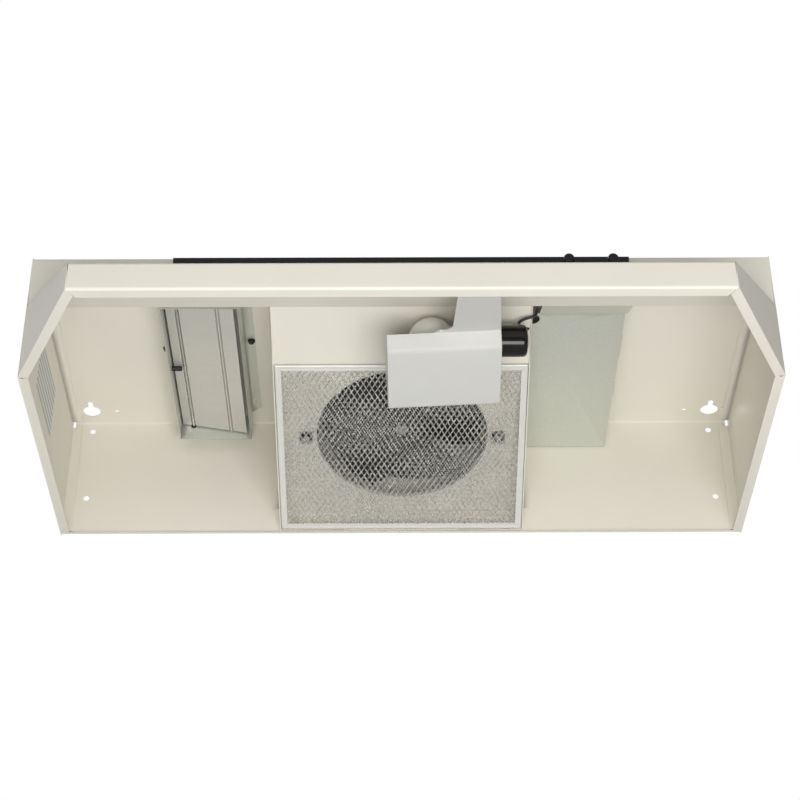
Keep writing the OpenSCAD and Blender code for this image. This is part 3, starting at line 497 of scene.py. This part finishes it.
def strands(x0, x1, y0, y1, z, shift, turn, wave, lift, width):
    """Layer of expanded metal: flat strands between the knots of a diamond grid."""
    verts, faces = [], []
    c, s = math.cos(math.radians(turn)), math.sin(math.radians(turn))
    cx, cy = (x0 + x1) / 2, (y0 + y1) / 2
    cols = int((x1 - x0) / CELL_X) + SPARE_COLUMNS
    rows = int((y1 - y0) / (CELL_Y / 2)) + SPARE_ROWS

    def knot(i, j):
        gx = (i + (0.5 if j % 2 else 0.0)) * CELL_X - cols * CELL_X / 2 + shift[0]
        gy = j * CELL_Y / 2 - rows * CELL_Y / 4 + shift[1]
        gz = z + lift * (1 if j % 2 else -1) + wave * math.sin(gx * 0.11 + gy * 0.07)
        return Vector((cx + gx * c - gy * s, cy + gx * s + gy * c, gz))

    def inside(a, b):
        return (x0 < min(a.x, b.x) and max(a.x, b.x) < x1
                and y0 < min(a.y, b.y) and max(a.y, b.y) < y1)

    for j in range(rows - 1):
        for i in range(cols):
            a = knot(i, j)
            for b in (knot(i, j + 1), knot(i + (1 if j % 2 else -1), j + 1)):
                if not inside(a, b):
                    continue
                d = (b - a).normalized()
                flat = Vector((-d.y, d.x, 0)).normalized()
                tip = math.radians(rng.uniform(-STRAND_TIP, STRAND_TIP))
                wide = flat * math.cos(tip) + Vector((0, 0, 1)) * math.sin(tip)
                half = wide * (width / 2 * rng.uniform(*STRAND_SPREAD))
                deep = d.cross(wide) * (STRAND_T / 2)
                base = len(verts)
                for end in (a - d * STRAND_LAP, b + d * STRAND_LAP):
                    verts += [end + half, end + deep, end - half, end - deep]
                faces += [(base + k, base + (k + 1) % 4, base + 4 + (k + 1) % 4, base + 4 + k)
                          for k in range(4)]
    return verts, faces


def raw_mesh(name, verts, faces, matrix):
    """Mesh from points as they are, flat shaded."""
    mesh = bpy.data.meshes.new(name)
    mesh.from_pydata([matrix @ v for v in verts], [], faces)
    mesh.update()
    obj = bpy.data.objects.new(name, mesh)
    scene.collection.objects.link(obj)
    return obj


def build_filter():
    """Two layers of expanded metal in a folded channel with mitred corners."""
    x = FILTER_W / 2 - FILTER_RIM + MESH_TUCK
    y0, y1 = FILTER_RIM - MESH_TUCK, FILTER_L - FILTER_RIM + MESH_TUCK
    for name, layer in MESH_LAYERS.items():
        mesh = raw_mesh(name, *strands(-x, x, y0, y1, *layer), ON_FILTER)
        finish_piece(mesh, "filter", "filter_mesh", "filter_mesh")
    # section of the folded channel: distance in from the outer edge, and height
    roll, rim = FILTER_T / 2, FILTER_RIM
    section = (arc(roll, roll, roll, 90, 270, 8)
               + [(3.0, 0.0), (3.5, 0.18), (4.6, 0.18), (5.1, 0.0), (rim - 0.7, 0.0)]
               + arc(rim - FOLD_R, FOLD_R, FOLD_R, -90, 90, 4)
               + [(rim - 0.6, 0.7), (rim - 0.6, FILTER_T - 0.7)]
               + arc(rim - FOLD_R, FILTER_T - FOLD_R, FOLD_R, -90, 90, 4) + [(rim - 1, FILTER_T)])
    corners = [(-FILTER_W / 2, 0), (FILTER_W / 2, 0), (FILTER_W / 2, FILTER_L), (-FILTER_W / 2, FILTER_L)]
    bars = []
    for k in range(4):
        a, b = Vector((*corners[k], 0)), Vector((*corners[(k + 1) % 4], 0))
        d = (b - a).normalized()
        inward = Vector((-d.y, d.x, 0))
        verts = [end + d * sign * (s + MITRE_GAP) + inward * s + Vector((0, 0, h))
                 for end, sign in ((a, 1), (b, -1)) for s, h in section]
        bars.append(new_object("bar", verts, ring_faces(2, len(section)), ON_FILTER, 30))
    finish_piece(joined("filter_channel", bars), "filter", "aluminium", "filter_frame", finish="channel")


# ---- Lamp ----

LENS_FLOOR = [(-217.5, plate_z(-217.5) - 1.4), (-218.5, -127.5), (-300.5, -112.8), (-310.5, -97.6)]
LENS_RADII = (6.0, 10.0)
LENS_CELLS = 8
LENS_CORNER, LENS_EDGE, LENS_FOLD = 3.4, 0.35, 62
ARM_TILT, ARM_L, ARM_W, ARM_TIP_W, ARM_FILLET, ARM_END_R = 19.1, 126.0, 49.0, 40.0, 18.0, 3
ARM_STEPS = (0.7, 1.8, 3.4, 5.6, 8.4, 12.4, ARM_FILLET, 40, 65, 90, 110, ARM_L - ARM_END_R, ARM_L - 1.2,
             ARM_L)
LENS_TABS, LENS_TAB_W, LENS_TAB_Y, LENS_TAB_Z = (8.0, 78.0), 8, -217.6, (-12, 5)


def rounded(points, radii, n=8):
    """Path with its inner corners rounded."""
    out = [Vector(points[0])]
    for i, r in enumerate(radii):
        a, p, b = (Vector(points[i + k]) for k in (0, 1, 2))
        u, v = (p - a).normalized(), (b - p).normalized()
        turn = u.angle(v)
        side = 1 if u.x * v.y - u.y * v.x > 0 else -1
        start = p - u * (r * math.tan(turn / 2))
        for k in range(n + 1):
            t = turn * k / n
            normal = Vector((-u.y, u.x)) * side
            out.append(start + u * (r * math.sin(t)) + normal * (r * (1 - math.cos(t))))
    out.append(Vector(points[-1]))
    return out


def arm_edges(arm_x):
    """Left and right edge of the lens's arm: a fillet at the lens, a taper, and a rounded end."""
    for s in ARM_STEPS:
        x_left = arm_x
        if s < ARM_FILLET:
            a = math.acos(max(-1.0, min(1.0, 1 - s / ARM_FILLET)))
            x_left = arm_x - ARM_FILLET + ARM_FILLET * math.sin(a)
        round_end = max(0.0, s - (ARM_L - ARM_END_R))
        inset = ARM_END_R - math.sqrt(max(0.0, ARM_END_R ** 2 - round_end ** 2))
        x_right = LENS_X1 + (arm_x + ARM_TIP_W - LENS_X1) * s / ARM_L - inset
        yield s, x_left + inset, x_right


def rim_z(y):
    """Height of the straight line from the lens's rear rim to its front one."""
    (y0, z0), (y1, z1) = LENS_FLOOR[0], LENS_FLOOR[-1]
    return z0 + (y - y0) * ((z1 - z0) / (y1 - y0))


def build_lens():
    """Moulded lens: a bent sheet with two end walls, and an arm that runs on to the front lip."""
    profile = rounded(LENS_FLOOR, LENS_RADII)
    arm_x = LENS_X1 - ARM_W
    split_x = arm_x - ARM_FILLET
    n = LENS_CELLS
    columns = [LENS_X0 + (split_x - LENS_X0) * k / n for k in range(n)]
    columns += [split_x + (LENS_X1 - split_x) * k / n for k in range(n + 1)]
    work = bmesh.new()
    rows = [[work.verts.new((x, p.x, p.y)) for x in columns] for p in profile]
    for i in range(len(rows) - 1):
        for k in range(len(columns) - 1):
            work.faces.new((rows[i][k], rows[i][k + 1], rows[i + 1][k + 1], rows[i + 1][k]))
    # the arm goes on from the right half of the front rim
    tilt = math.radians(ARM_TILT)
    last = rows[-1][n:]
    y0, z0 = LENS_FLOOR[-1]
    for s, x_left, x_right in arm_edges(arm_x):
        row = [work.verts.new((x_left + (x_right - x_left) * k / n, y0 - s * math.cos(tilt),
                               z0 - s * math.sin(tilt))) for k in range(n + 1)]
        for k in range(n):
            work.faces.new((last[k], last[k + 1], row[k + 1], row[k]))
        last = row
    # end walls: the left one whole, the right one open for the socket
    left_wall = work.faces.new([r[0] for r in rows])
    notch_r = SOCKET_R + 1.5
    curve = arc(LAMP_Y, LAMP_Z, notch_r, 211, 360, 14)
    rear_y, front_y = LAMP_Y + notch_r, curve[0][0]
    edge = [(front_y, rim_z(front_y))] + curve + [(rear_y, rim_z(rear_y))]
    notch = [work.verts.new((LENS_X1, y, z)) for y, z in edge]
    work.faces.new([r[-1] for r in rows] + notch)
    bmesh.ops.recalc_face_normals(work, faces=work.faces)
    # the sheet is thickened inwards, so its faces have to look outwards
    if left_wall.normal.x > 0:
        bmesh.ops.reverse_faces(work, faces=work.faces)
    mesh = bpy.data.meshes.new("lamp_lens_moulding")
    work.transform(ON_LENS)
    work.to_mesh(mesh)
    work.free()
    obj = bpy.data.objects.new("lamp_lens_moulding", mesh)
    scene.collection.objects.link(obj)
    bevel(obj, LENS_CORNER, 5, LENS_FOLD)
    modifier(obj, "SOLIDIFY", thickness=LENS_T * MM, offset=-1.0, use_even_offset=True)
    bevel(obj, LENS_EDGE, 2, LENS_FOLD)
    apply_all(obj)
    z = plate_z(LENS_FLOOR[0][0])
    half = LENS_TAB_W / 2
    tabs = [block("tab", (x - half, LENS_TAB_Y - LENS_T, z + LENS_TAB_Z[0]),
                  (x + half, LENS_TAB_Y, z + LENS_TAB_Z[1]), ROW, 0.4) for x in LENS_TABS]
    obj = joined("lamp_lens_moulding", [obj] + tabs)
    tidy(obj.data, 40)
    return finish_piece(obj, "lens", "white_lens", "lamp_lens")


def on_lamp(x):
    """Local frame on the lamp's axis, its z along the row's x."""
    return place((x, LAMP_Y, LAMP_Z)) @ ALONG_X


def build_socket():
    """Black socket body with a round back, and the brass screw shell in its well."""
    length, r = SOCKET_X1 - SOCKET_X0, SOCKET_R
    well_r, well, dome_r, dome_l = 14.6, 30.0, 4.4, 5.2
    dome = [(math.radians(a), length - 6) for a in (15, 30, 45, 60, 75, 90)]
    profile = ([(1.5, well), (well_r, well), (well_r, 0.4), (well_r + 0.4, 0), (r - 0.8, 0), (r - 0.2, 0.3),
                (r, 1.0), (r, 5.0), (r - 0.5, 5.4), (r - 0.5, 6.4), (r, 6.8), (r, length - 6)]
               + [(r - dome_r * (1 - math.cos(a)), z + dome_l * math.sin(a)) for a, z in dome]
               + [(8.0, length - 0.8), (7.6, length - 0.1), (1.5, length - 0.1)])
    socket = lathe("lamp_socket_body", profile, on_lamp(SOCKET_X0), 96, closed=True, angle=32)
    finish_piece(socket, "shell", "black_phenolic", "lamp_socket")
    bore, outer, turns, rise, depth = 13.6, 14.5, 46, 0.55, 0.35
    shell = [(bore, 1.5)] + [(bore + depth * math.sin(k * math.pi / 3), 1.5 + k * rise) for k in range(turns)]
    shell += [(bore, 27.5), (outer, 27.5), (outer, 2.0)]
    finish_piece(lathe("screw_shell", shell, on_lamp(SOCKET_X0 + 2), 64, closed=True), "shell",
                 "brass_shell", "socket_shell")


def build_bulb():
    """Glass globe that narrows to a neck, and the threaded cap."""
    reach = CAP_X0 - GLOBE_X
    outline = [(0.6, -GLOBE_R)]
    outline += [(GLOBE_R * math.cos(math.radians(a)), GLOBE_R * math.sin(math.radians(a)))
                for a in range(-88, 41, 4)]
    shoulder = [(NECK_R + 2.4 + 3.5 * (1 - t) ** 2, GLOBE_R * 0.64 + t * 7) for t in (0.25, 0.5, 0.75, 1.0)]
    widest = outline[-1][0]
    outline += [p for p in shoulder if p[0] < widest]
    outline += [(NECK_R + 0.9, reach - 8), (NECK_R, reach - 5), (NECK_R, reach)]
    finish_piece(lathe("bulb_globe", outline, on_lamp(GLOBE_X), 96, angle=45), "bulb", "bulb_glass",
                 "bulb_glass")
    turns, rise, depth = 49, 0.45, 0.5
    cap = [(CAP_R - 0.6, 0.0)]
    cap += [(CAP_R - 0.55 + depth * math.sin(k * math.pi / 4), 1.0 + k * rise) for k in range(turns)]
    cap += [(10.5, 24.6), (8, 26), (7.4, 26.4), (5, 28.8), (1, 29)]
    finish_piece(lathe("bulb_screw_cap", cap, on_lamp(CAP_X0), 64, angle=50), "bulb", "bulb_metal",
                 "bulb_cap")


# centre lines of the leads, as in the CAD
LAMP_ROUTE = [
    (120, -277, -64.8), (122, -277.5, -62.3), (125, -278, -60.5), (129, -278.5, -59.2),
    (133, -279, -58.4), (136.5, -280.5, -57.5), (138.5, -284, -56), (139.2, -288.5, -53.5),
    (139.8, -293, -49), (141, -296, -43), (144, -297.3, -36.5), (147.5, -296, -30), (150.5, -293, -24),
    (154, -290.8, -19.5), (157, -290, -18), (158.9, -290, -18),
]
MOTOR_ROUTE = [
    (40, -45, -46), (62, -60, -38), (84, -90, -32), (104, -130, -27), (118, -165, -24),
    (128, -185, -24), (138, -190, -24), (150, -196, -24), (164, -210, -22), (180, -232, -19),
    (196, -256, -17), (204, -272, -17), (208, -280.5, -17),
]
LEAD_R, LEAD_TWIST = 1.6, 0.35


def build_leads():
    """Each lead is two jacketed wires side by side, which together are as wide as the CAD's one."""
    for name, route, node in (("lamp_lead_pair", LAMP_ROUTE, "lamp_lead"),
                              ("motor_lead_pair", MOTOR_ROUTE, "motor_lead")):
        centre = smooth_path(route)
        wire = LEAD_R * 0.56
        pair = []
        for sign in (-1, 1):
            points = []
            for i, p in enumerate(centre):
                d = (centre[min(i + 1, len(centre) - 1)] - centre[max(i - 1, 0)]).normalized()
                side = d.cross(Vector((0, 1, 0.2))).normalized()
                turn = Matrix.Rotation(LEAD_TWIST * math.sin(i * 0.09), 3, d)
                points.append(p + turn @ side * (sign * (LEAD_R - wire)))
            pair.append(tube("wire", points, wire))
        obj = joined(name, pair)
        tidy(obj.data, 50)
        finish_piece(obj, "shell", "lead_jacket", node)


# ---- Fan and motor ----


FAN_BLADES, BLADE_ROOT, BLADE_TIP, BLADE_Z, BLADE_T = 5, 13.0, 88.0, 18.6, 1.1
BLADE_ROWS, BLADE_COLUMNS = 14, 12
HUB_SIDE_R = 18.0
COIL_TURNS, COIL_WIRE, COIL_X, COIL_Y, COIL_Z, COIL_R = 15, 1.1, 17.6, (37.6, 59.6), (41.6, 70.4), 5.0
MOTOR_NODES = (
    ("motor_stator", "core_steel", "shell", 0.3), ("motor_front_bracket", "plated_steel", "shell", 0.3),
    ("motor_rear_bracket", "plated_steel", "shell", 0.3), ("motor_bolts", "plated_steel", "shell", 0.2),
    ("blade_nut", "plated_steel", "fan_rotor", 0.4), ("motor_shaft", "plated_steel", "fan_rotor", 0.4),
    ("motor_rotor", "core_steel", "fan_rotor", 0.3), ("front_bearing", "bronze", "shell", 0.3),
    ("rear_bearing", "bronze", "shell", 0.3), ("strap_screws", "plated_steel", "shell", 0.3),
    ("strap_grommets", "black_rubber", "shell", 0.4))


def blade_point(f, g):
    """Point of a blade: f goes from its root to its tip, g from its leading edge to its trailing one."""
    r = BLADE_ROOT + (BLADE_TIP - BLADE_ROOT) * f
    lead = -(8 + 40 * min(1, f * 1.35))
    trail = 8 + 34 * min(1, f * 1.4) - 15 * max(0, f - 0.8)
    pitch = math.radians(20 - 7 * f)
    w = lead + (trail - lead) * g
    along = w * math.cos(pitch)
    rise = w * math.sin(pitch) + 1.2 * (1 - (2 * g - 1) ** 2) * f
    # the outline is flat in plan, but wraps round the hub where it is wider than the hub
    if r < HUB_SIDE_R:
        angle = along / HUB_SIDE_R
    else:
        angle = math.atan2(along, math.sqrt(max(r * r - along * along, 1)))
    return r * math.cos(angle), r * math.sin(angle), BLADE_Z + rise


def build_wheel():
    """Fan wheel: pitched blades on a hub with a flange."""
    nr, nc = BLADE_ROWS, BLADE_COLUMNS
    corners = [i * (nc + 1) + j for i in range(nr) for j in range(nc)]
    faces = [(a, a + 1, a + nc + 2, a + nc + 1) for a in corners]
    verts = [blade_point(i / nr, j / nc) for i in range(nr + 1) for j in range(nc + 1)]
    parts = []
    for k in range(FAN_BLADES):
        turned = ON_PLATE @ Matrix.Rotation(2 * math.pi * k / FAN_BLADES, 4, "Z")
        blade = new_object("blade", verts, faces, turned, 60)
        modifier(blade, "SOLIDIFY", thickness=BLADE_T * MM, offset=0.0)
        parts.append(apply_all(blade))
    hub = [(4.0, 14.0), (8.4, 14.0), (9.0, 14.6), (9.0, 17.8), (23.4, 18.0), (24.0, 18.3), (24.0, 18.9),
           (23.4, 19.2), (9.0, 19.4), (9.0, 24.4), (8.4, 25.0), (4.0, 25.0)]
    parts.append(lathe("hub", hub, ON_PLATE, 64, closed=True))
    wheel = joined("fan_wheel", parts)
    tidy(wheel.data, 40)
    finish_piece(wheel, "fan_rotor", "black_plastic", "fan_blade", finish="fan_paint")


def build_motor():
    """Windings round the core's long leg, and the motor's CAD nodes."""
    (y0, y1), (z0, z1), r = COIL_Y, COIL_Z, COIL_R
    ring = (arc(y1 - r, z1 - r, r, 0, 90) + arc(y0 + r, z1 - r, r, 90, 180)
            + arc(y0 + r, z0 + r, r, 180, 270) + arc(y1 - r, z0 + r, r, 270, 360))
    loops = []
    for k in range(COIL_TURNS):
        x = -COIL_X + 2 * COIL_X * k / (COIL_TURNS - 1)
        loops.append(tube("turn", [(x, y, z) for y, z in ring], COIL_WIRE, ON_PLATE, 10, closed=True))
    coil = joined("motor_windings", loops)
    tidy(coil.data, 60)
    finish_piece(coil, "shell", "copper", "motor_coil")
    for node, slot_name, body, edge in MOTOR_NODES:
        dressed(node, slot_name, body, edge)


# ---- Controls ----


KNOB_L, KNOB_R, KNOB_FLUTES, KNOB_FLUTE = 16.0, 5.5, 18, 0.22


def fluted(count, depth, first, last):
    """Shape for lathe: flutes cut into the rows from first to last."""
    def shape(row, turn, radius):
        if first <= row <= last:
            return radius - depth * (0.5 - 0.5 * math.cos(count * turn))
        return radius
    return shape


def build_controls():
    """Two fluted knobs, the strip they stand on, and the switches with their shafts."""
    length, r = KNOB_L, KNOB_R
    profile = [(r - 1.3, 0.0), (r - 0.55, 0.25), (r - 0.2, 0.9), (r, 1.6), (r, length - 4.6),
               (r - 0.5, length - 4.2), (r - 0.5, length - 3.2), (r, length - 2.8), (r, length - 0.5),
               (r - 0.5, length), (3.1, length), (3.1, 4.0), (1.0, 4.0), (0.9, 0.35)]
    for x, node, body in ((KNOB_X[1], "fan_knob", "fan_control"), (KNOB_X[0], "light_knob", "light_control")):
        knob = lathe(node + "_moulding", profile, place((x, KNOB_Y - length, KNOB_Z)) @ ALONG_Y,
                     KNOB_FLUTES * 8, angle=35, shape=fluted(KNOB_FLUTES, KNOB_FLUTE, 2, 4))
        finish_piece(knob, body, "black_plastic", node)
    dressed("control_strip", "black_plastic", "shell", 0.5)
    for node in ("fan_switch", "light_switch"):
        dressed(node, "black_plastic", "shell", 0.4)
    dressed("fan_shaft", "plated_steel", "fan_control", 0.3)
    dressed("light_shaft", "plated_steel", "light_control", 0.3)


# ---- Duct connector ----

THREAD_PITCH, THREAD_DEPTH = 1.1, 0.35
COLLAR_SCREWS, SCREW_Z = ((-162.7, -163.3), (-256.1, -150.0)), -1.9
STOP_POINT = (-252.0, -133.0, -17.65)
FLAP_T, FLAP_EDGES, ROD_X, ROD_R, ROD_Z = 0.4, (-12.2, 62.0), (0.0, 44.2), 1.15, -0.2
GROOVE_HALF, GROOVE_DEEP = 2.3, 1.5


def hex_head(name, matrix, across, height, washer):
    """Hexagonal head with a washer face, up local z from 0."""
    corner, rim = across / 2, washer / 2
    rows = [(rim - 0.25, 0.0), (rim, 0.15), (rim, height * 0.25), (rim - 0.3, height * 0.32),
            (corner, height * 0.34), (corner, height * 0.86), (corner * 0.9, height),
            (corner * 0.35, height * 0.97)]
    hexed = (0, 0, 0, 0, 1, 1, 0.3, 0)

    def shape(row, turn, radius):
        flat = math.cos(math.pi / 6) / math.cos((turn % (math.pi / 3)) - math.pi / 6)
        return radius * (1 + hexed[row] * (flat - 1))

    return lathe(name, rows, matrix, 48, angle=28, shape=shape)


def threaded(name, matrix, d, length):
    """Screw shank with a thread, down local z from 0."""
    n = int(length / THREAD_PITCH * 4)
    profile = [(d / 2 - THREAD_DEPTH * (k % 4 in (0, 1)), -length * k / n) for k in range(n + 1)]
    return lathe(name, profile + [(d * 0.15, -length - 0.3)], matrix, 24, angle=20)




def flap_outline():
    """Section of the flap: a sheet with two grooves, each with a rod lying in it."""
    t, half, deep, rod = FLAP_T, GROOVE_HALF, GROOVE_DEEP, ROD_R
    lower, upper = [(FLAP_EDGES[0], -t)], [(FLAP_EDGES[0], t)]
    for x in ROD_X:
        lower += [(x - half, -t), (x - half + 0.1, deep), (x - rod, deep), (x - rod, ROD_Z)]
        lower += arc(x, ROD_Z, rod, 190, 350, 8)
        lower += [(x + rod, ROD_Z), (x + rod, deep), (x + half - 0.1, deep), (x + half, -t)]
        upper += [(x - half - 0.5, t), (x - half - 0.4, deep + 0.6), (x + half + 0.4, deep + 0.6),
                  (x + half + 0.5, t)]
    return lower + [(FLAP_EDGES[1], -t), (FLAP_EDGES[1], t)] + upper[::-1]


def build_damper():
    """Flap with its rod and bushes, the collar's two screws, and the pin under the flap's edge."""
    y0, length = COLLAR_Y - COLLAR_L + 3, COLLAR_L - 6
    flap = prism("damper_blade", flap_outline(), y0, y0 + length, ON_FLAP, 28)
    finish_piece(flap, "flap", "aluminium", "damper_flap")
    dressed("damper_rod", "plated_steel", "flap", 0.3)
    dressed("damper_bushes", "black_rubber", "shell", 0.4)
    parts = []
    for x, y in COLLAR_SCREWS:
        at = place((x, y, SCREW_Z)) @ DOWN
        parts += [hex_head("head", at, 6.4, 3.6, 8.3), threaded("shank", at, 3.6, 1.5)]
    obj = joined("collar_screws", parts)
    tidy(obj.data, 28)
    finish_piece(obj, "shell", "black_oxide", "damper_screws")
    at = place(STOP_POINT) @ Matrix.Rotation(-math.pi / 2, 4, "Y")
    pin = [(1.4, -12.0), (2.3, -11.8), (2.7, -11.2), (2.7, -0.95), (2.0, -0.9), (2.0, 0.0), (3.3, 0.0),
           (3.5, 0.25), (3.5, 0.8), (3.1, 1.2)]
    finish_piece(lathe("flap_stop_pin", pin, at, 48), "shell", "black_rubber", "damper_stop")


NUT_PLACE, NUT_STEP, NUT_TURN = Vector((170, -110, -22)), Vector((26, -30, 0)), 20
NUT_RIBS, NUT_RIB = 12, 0.45
GROUND_SCREW = (212, -60, -1.0)


def build_wiring():
    """Two ribbed wire nuts and the ground screw's head."""
    rows = [(5.6, 0.0), (6.5, 0.4), (6.5, 1.2), (6.0, 1.8), (4.4, 21.0), (3.6, 23.2), (1.5, 24.0)]
    lying = Matrix.Rotation(math.radians(90), 4, "X")
    parts = [lathe("nut", rows, place(NUT_PLACE + NUT_STEP * k, NUT_TURN, "Z") @ lying, NUT_RIBS * 8,
                   angle=40, shape=fluted(NUT_RIBS, NUT_RIB, 3, 5)) for k in range(2)]
    obj = joined("wire_nut_pair", parts)
    tidy(obj.data, 40)
    finish_piece(obj, "shell", "nut_plastic", "wire_nuts")
    head = hex_head("ground_screw_head", place(GROUND_SCREW) @ DOWN, 7.0, 3.6, 9.0)
    finish_piece(head, "shell", "ground_paint", "ground_screw")


def build_plain():
    """CAD nodes that are right as they are, with their finish."""
    for node, slot_name in (("top_duct_knockout", "enamel"), ("rear_duct_knockout", "enamel"),
                            ("wiring_knockouts", "enamel"), ("rating_plate", "blank_label")):
        mesh = nodes[node].data
        mesh.materials.clear()
        mesh.materials.append(MATS[slot_name])


def build_floor():
    """Plain pale floor below the object."""
    half = FLOOR_SIZE / 2
    floor = new_object("floor", [(-half, -half, 0), (half, -half, 0), (half, half, 0), (-half, half, 0)],
                       [(0, 1, 2, 3)], Matrix.Translation((0, 0, FLOOR_Z)))
    floor.data.materials.append(material("floor_paper", (0.86, 0.86, 0.85), 0.85, vary=0.01, scale=3.0,
                                         grain=200.0))


add_camera()
add_world()
build_floor()
for light in LIGHTS:
    add_area(*light)
build_shell()
build_filter()
build_lens()
build_socket()
build_bulb()
build_leads()
build_wheel()
build_motor()
build_controls()
build_damper()
build_wiring()
build_plain()
